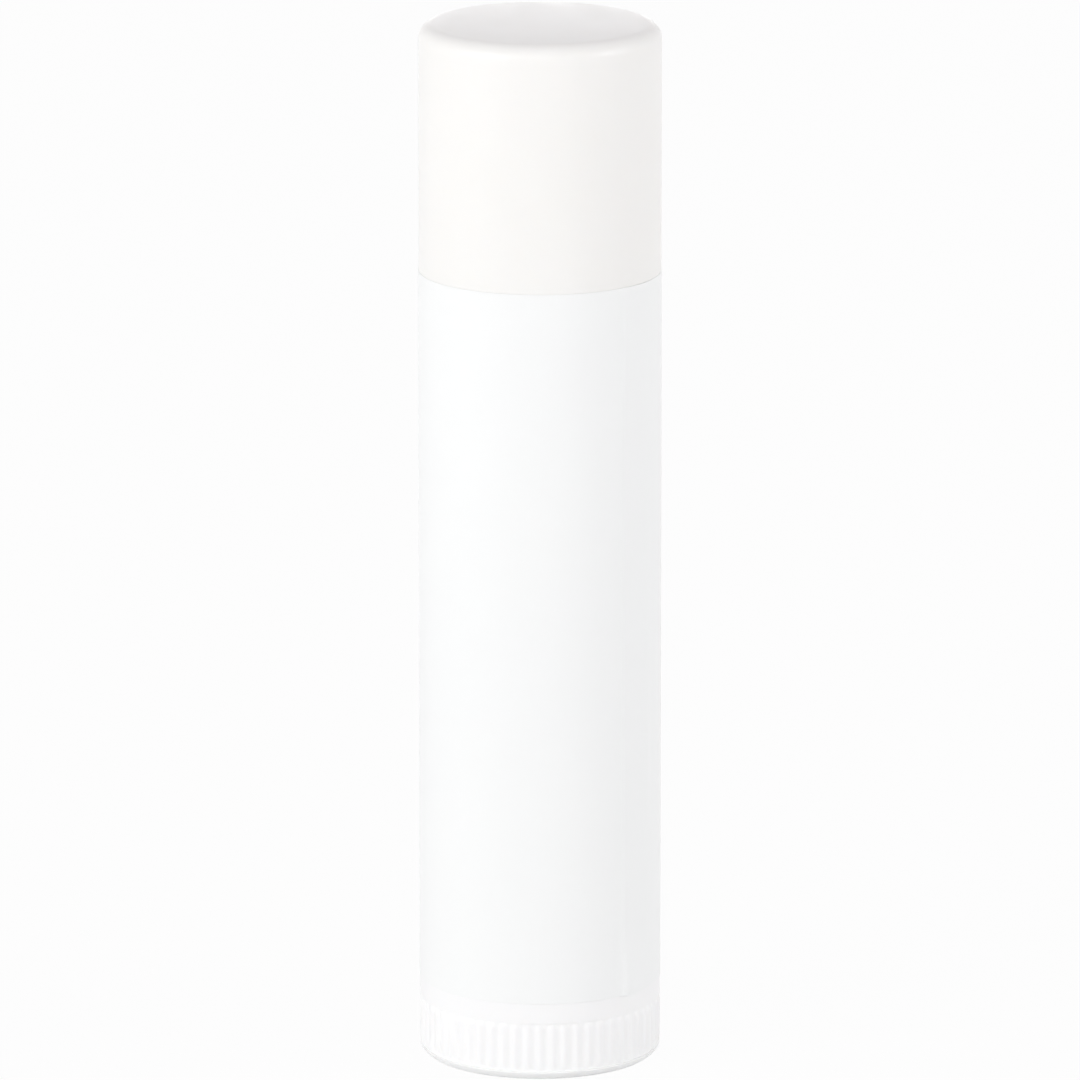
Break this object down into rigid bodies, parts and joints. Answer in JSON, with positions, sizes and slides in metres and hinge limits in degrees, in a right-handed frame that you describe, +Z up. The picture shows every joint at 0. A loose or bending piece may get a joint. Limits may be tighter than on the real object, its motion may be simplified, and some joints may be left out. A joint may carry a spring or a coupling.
{
  "type": "lip balm stick",
  "caption": "Slim round twist-up lip balm stick with a pull-off cap, a plain labelled barrel and a ribbed base knob that winds the balm up.",
  "frame": {"origin": "middle of the base knob's underside, on the surface that the stick stands on", "axes": "+Z up along the stick's axis, through knob, barrel and cap; -Y is the front"},
  "size_m": [0.016, 0.016, 0.07],
  "materials": {
    "knob_plastic": "satin moulded",
    "barrel_plastic": "satin moulded",
    "cap_plastic": "satin moulded",
    "elevator_plastic": "natural moulded",
    "label_film": "satin film",
    "wax": "waxy"
  },
  "bodies": {
    "barrel": {"barrel": "barrel_plastic", "label": "label_film"},
    "knob": {"base_knob": "knob_plastic"},
    "elevator": {"elevator": "elevator_plastic", "balm_stick": "wax"},
    "cap": {"cap": "cap_plastic"}
  },
  "joints": [
    {"name": "knob_turn", "type": "hinge", "parent": "barrel", "child": "knob", "pos_m": [0, 0, 0], "axis": [0, 0, 1], "range_deg": [0, 4320]},
    {"name": "elevator_lift", "type": "slide", "parent": "barrel", "child": "elevator", "axis": [0, 0, 1], "range_m": [0, 0.048]},
    {"name": "cap_pull", "type": "slide", "parent": "elevator", "child": "cap", "axis": [0, 0, 1], "range_m": [0, 0.03]}
  ],
  "couplings": [
    {"joint": "knob_turn", "follows": "elevator_lift", "rad_per_m": 1570.8}
  ]
}
